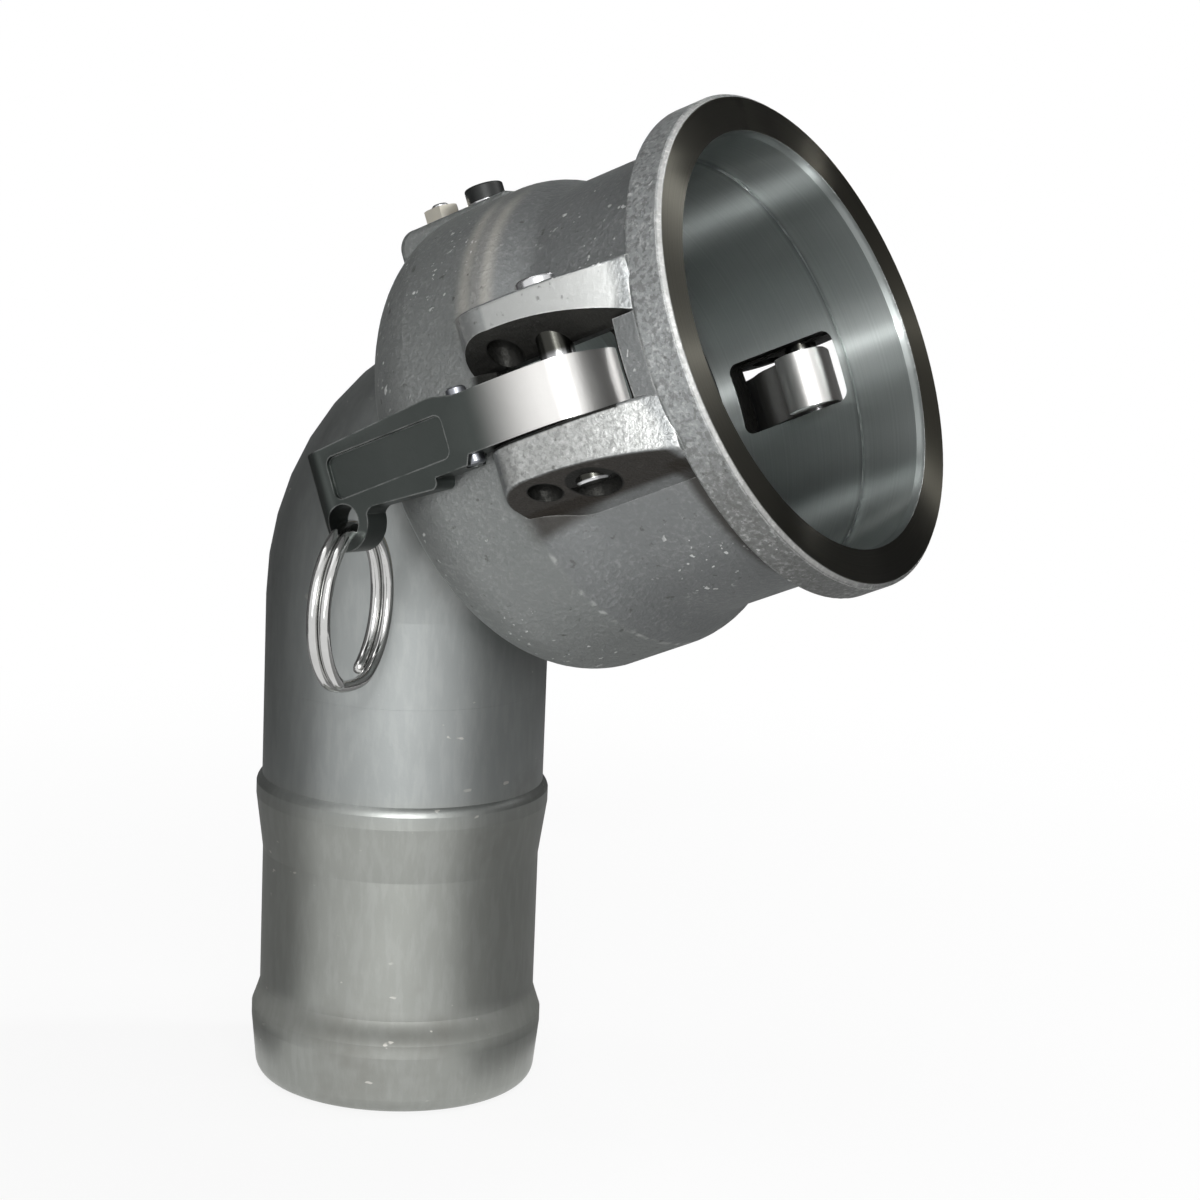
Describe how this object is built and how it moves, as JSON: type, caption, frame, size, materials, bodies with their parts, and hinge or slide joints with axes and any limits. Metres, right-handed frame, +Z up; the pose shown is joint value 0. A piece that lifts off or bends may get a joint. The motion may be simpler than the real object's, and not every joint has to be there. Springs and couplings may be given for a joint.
{
  "type": "cam and groove coupler, elbow hose shank",
  "caption": "Stainless cam and groove coupler with folded cam arms and pull rings, welded to an elbow with a barbed hose shank.",
  "frame": {"origin": "centre of the hose shank's end face, on the shank's axis", "axes": "+Z up along the shank; the coupler's axis lies in the XZ plane and points to +X and 24.2 degrees up; the pictured cam arm is on the -Y side"},
  "size_m": [0.1574, 0.1572, 0.2364],
  "materials": {
    "steel_cast": "cast, speckled satin",
    "steel_tube": "smooth satin",
    "steel_arm": "dark satin, worn bright at the cam",
    "steel_pin": "ground",
    "chrome_ring": "bright",
    "gasket_rubber": "matt black",
    "screw_black": "black oxide, satin",
    "brass_nut": "bright"
  },
  "bodies": {
    "coupler": {"coupler_body": "steel_cast", "gasket": "gasket_rubber", "elbow_pipe": "steel_tube", "bowl_weld": "steel_tube", "hose_shank": "steel_tube", "bond_screw": "screw_black", "bond_washer": "steel_pin", "bond_stud": "steel_pin", "bond_nut": "brass_nut", "pivot_pin_near": "steel_pin", "pivot_pin_far": "steel_pin"},
    "arm_near": {"cam_arm_near": "steel_arm", "cross_pin_near": "steel_pin"},
    "arm_far": {"cam_arm_far": "steel_arm", "cross_pin_far": "steel_pin"},
    "ring_near": {"pull_ring_near": "chrome_ring"},
    "ring_far": {"pull_ring_far": "chrome_ring"}
  },
  "joints": [
    {"name": "arm_near_pivot", "type": "hinge", "parent": "coupler", "child": "arm_near", "pos_m": [0.07143, -0.0528, 0.17766], "axis": [-0.4084, 0.0872, 0.9086], "range_deg": [0, 105]},
    {"name": "arm_far_pivot", "type": "hinge", "parent": "coupler", "child": "arm_far", "pos_m": [0.07522, 0.0528, 0.16923], "axis": [0.4084, -0.0872, -0.9086], "range_deg": [0, 105]},
    {"name": "ring_near_swing", "type": "hinge", "parent": "arm_near", "child": "ring_near", "pos_m": [0.02375, -0.0593, 0.14397], "axis": [-0.0357, -0.9962, 0.0795], "range_deg": [-50, 8]},
    {"name": "ring_far_swing", "type": "hinge", "parent": "arm_far", "child": "ring_far", "pos_m": [0.01936, 0.05909, 0.15376], "axis": [-0.0357, -0.9962, 0.0795], "range_deg": [-50, 8]}
  ]
}
